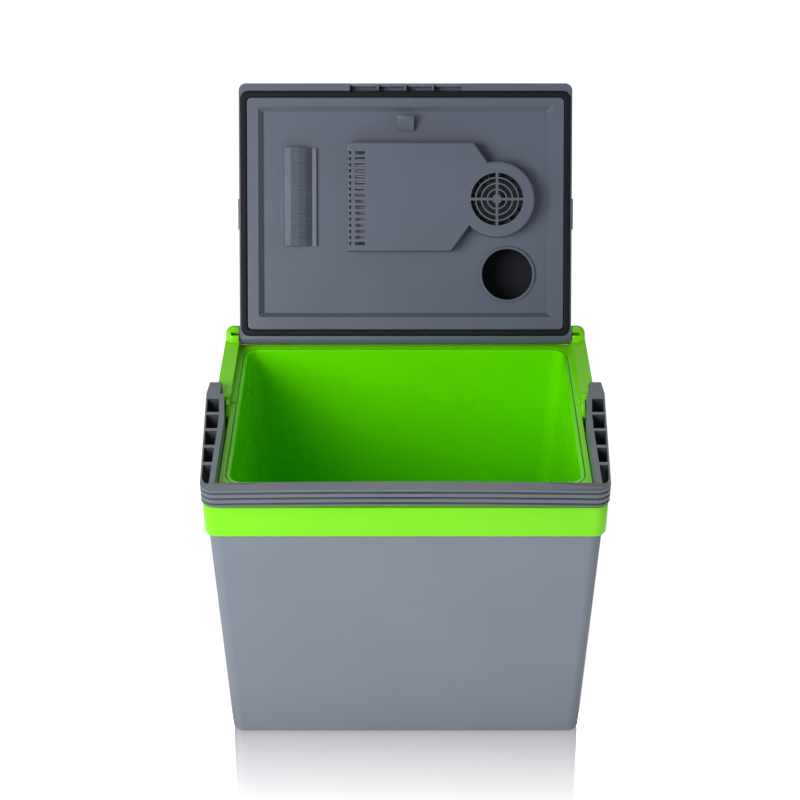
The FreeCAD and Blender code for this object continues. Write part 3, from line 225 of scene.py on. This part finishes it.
def keep_planes_flat(mesh, least=0.004):
    """Faces of one wide flat area shade flat, so that only real curves are smoothed.

    An area is wide where it measures more than this length times its own diagonal.
    """
    areas = {}
    for polygon in mesh.polygons:
        normal = polygon.normal
        plane = (round(normal.x, 2), round(normal.y, 2), round(normal.z, 2),
                 round(normal.dot(polygon.center), 4))
        areas.setdefault(plane, []).append(polygon)
    for polygons in areas.values():
        corners = [mesh.vertices[index].co for polygon in polygons for index in polygon.vertices]
        spans = [max(place[axis] for place in corners) - min(place[axis] for place in corners)
                 for axis in range(3)]
        wide = sum(polygon.area for polygon in polygons) > least * math.hypot(*spans)
        for polygon in polygons:
            polygon.use_smooth = not wide


WELD_GAP = 0.00001


def soften(item, width, segments=2, angle=28):
    """Round every hard edge of a node a little, and smooth its faces."""
    weld = item.modifiers.new("weld", "WELD")
    weld.merge_threshold = WELD_GAP
    bevel = item.modifiers.new("bevel", "BEVEL")
    bevel.width = width
    bevel.segments = segments
    bevel.limit_method = "ANGLE"
    bevel.angle_limit = math.radians(angle)
    bevel.use_clamp_overlap = True
    bevel.harden_normals = True
    bevel.miter_outer = "MITER_ARC"
    keep_planes_flat(item.data)


EDGES = {
    "handle": 0.0007, "rim_collar": 0.0009, "outer_shell": 0.001, "inner_liner": 0.0006, "lid_cover": 0.0008,
    "lid_panel": 0.0008, "duct_cover": 0.0005, "bottle_cup": 0.0005, "air_deflector": 0.0003,
    "latch_hook": 0.0004, "control_panel": 0.0004, "mode_switch": 0.0005, "fan_guard": 0.0003,
    "lid_gasket": 0.0004, "grip_pocket": 0.0003,
}
for name, width in EDGES.items():
    soften(nodes[name], width)


# ---------------------------------------------------------------- floor, light and camera

FLOOR_SIZE = 14
FLOOR_SHIFT = 2.0
FLOOR_DROP = 0.0004
FLOOR_GLOW = 0.92
SHEEN_SHARE = 0.7
# The sheen grows from none to full between each pair of places in Y.
SHEEN_FADES = ((-0.27, -0.13), (-0.1, -0.12))


def make_floor():
    """A white glowing floor whose mirror sheen is strongest in front of the object and fades from there."""
    bpy.ops.mesh.primitive_plane_add(size=FLOOR_SIZE, location=(0, FLOOR_SHIFT, -FLOOR_DROP))
    floor = bpy.context.object
    floor.name = "floor"
    made = Shader("floor_white", 0.9, 0.1)
    made.colour(linear(150, 150, 151), linear(147, 147, 148), 0.6)
    made.shader.inputs["Emission Color"].default_value = (1, 1, 1, 1)
    made.shader.inputs["Emission Strength"].default_value = FLOOR_GLOW
    parts = made.node("SeparateXYZ")
    made.link(made.place, parts.inputs["Vector"])
    fades = []
    for none_at, full_at in SHEEN_FADES:
        fade = made.node("MapRange")
        made.link(parts.outputs["Y"], fade.inputs["Value"])
        fade.inputs["From Min"].default_value = none_at - FLOOR_SHIFT
        fade.inputs["From Max"].default_value = full_at - FLOOR_SHIFT
        fades.append(fade.outputs["Result"])
    both = made.node("Math", operation="MULTIPLY")
    strength = made.node("Math", operation="MULTIPLY")
    made.link(fades[0], both.inputs[0])
    made.link(fades[1], both.inputs[1])
    made.link(both.outputs["Value"], strength.inputs[0])
    strength.inputs[1].default_value = SHEEN_SHARE
    sheen = made.node("BsdfGlossy", Roughness=0.06)
    mix = made.node("MixShader")
    made.link(strength.outputs["Value"], mix.inputs["Fac"])
    made.link(made.shader.outputs["BSDF"], mix.inputs[1])
    made.link(sheen.outputs["BSDF"], mix.inputs[2])
    made.link(mix.outputs["Shader"], made.tree.nodes["Material Output"].inputs["Surface"])
    floor.data.materials.append(made.material)


def softbox(name, place, aim, size, power):
    """A rectangular light at a place, turned towards its aim."""
    light = bpy.data.lights.new(name, "AREA")
    light.shape = "RECTANGLE"
    light.size, light.size_y = size
    light.energy = power
    item = bpy.data.objects.new(name, light)
    item.location = place
    item.rotation_mode = "QUATERNION"
    item.rotation_quaternion = (Vector(aim) - Vector(place)).to_track_quat("-Z", "Y")
    scene.collection.objects.link(item)


WORLD_GLOW = 0.17


def make_light():
    """A key from the front left, a weak fill, and a high strip behind, which the floor mirrors."""
    world = bpy.data.worlds.new("studio")
    scene.world = world
    world.use_nodes = True
    background = world.node_tree.nodes["Background"]
    background.inputs["Color"].default_value = (1, 1, 1, 1)
    background.inputs["Strength"].default_value = WORLD_GLOW
    softbox("key_left", (-0.95, -1.0, 1.0), (0, 0, 0.25), (1.0, 0.8), 21)
    softbox("fill_right", (1.9, -1.1, 1.0), (0, 0, 0.3), (0.7, 0.9), 4)
    softbox("sky_behind", (0, 2.56, 3.0), (0, 0, 0), (3.6, 1.1), 42)


def make_camera():
    """It stands in front and above, and looks 34 degrees down."""
    camera = bpy.data.cameras.new("camera")
    camera.sensor_width = 36
    camera.lens = 72.5
    camera.shift_x = -0.0069
    camera.clip_start = 0.1
    camera.clip_end = 40
    item = bpy.data.objects.new("camera", camera)
    item.location = (0, -1.395, 1.285)
    item.rotation_euler = (math.radians(90 - 34), 0, 0)
    scene.collection.objects.link(item)
    scene.camera = item


make_floor()
make_light()
make_camera()
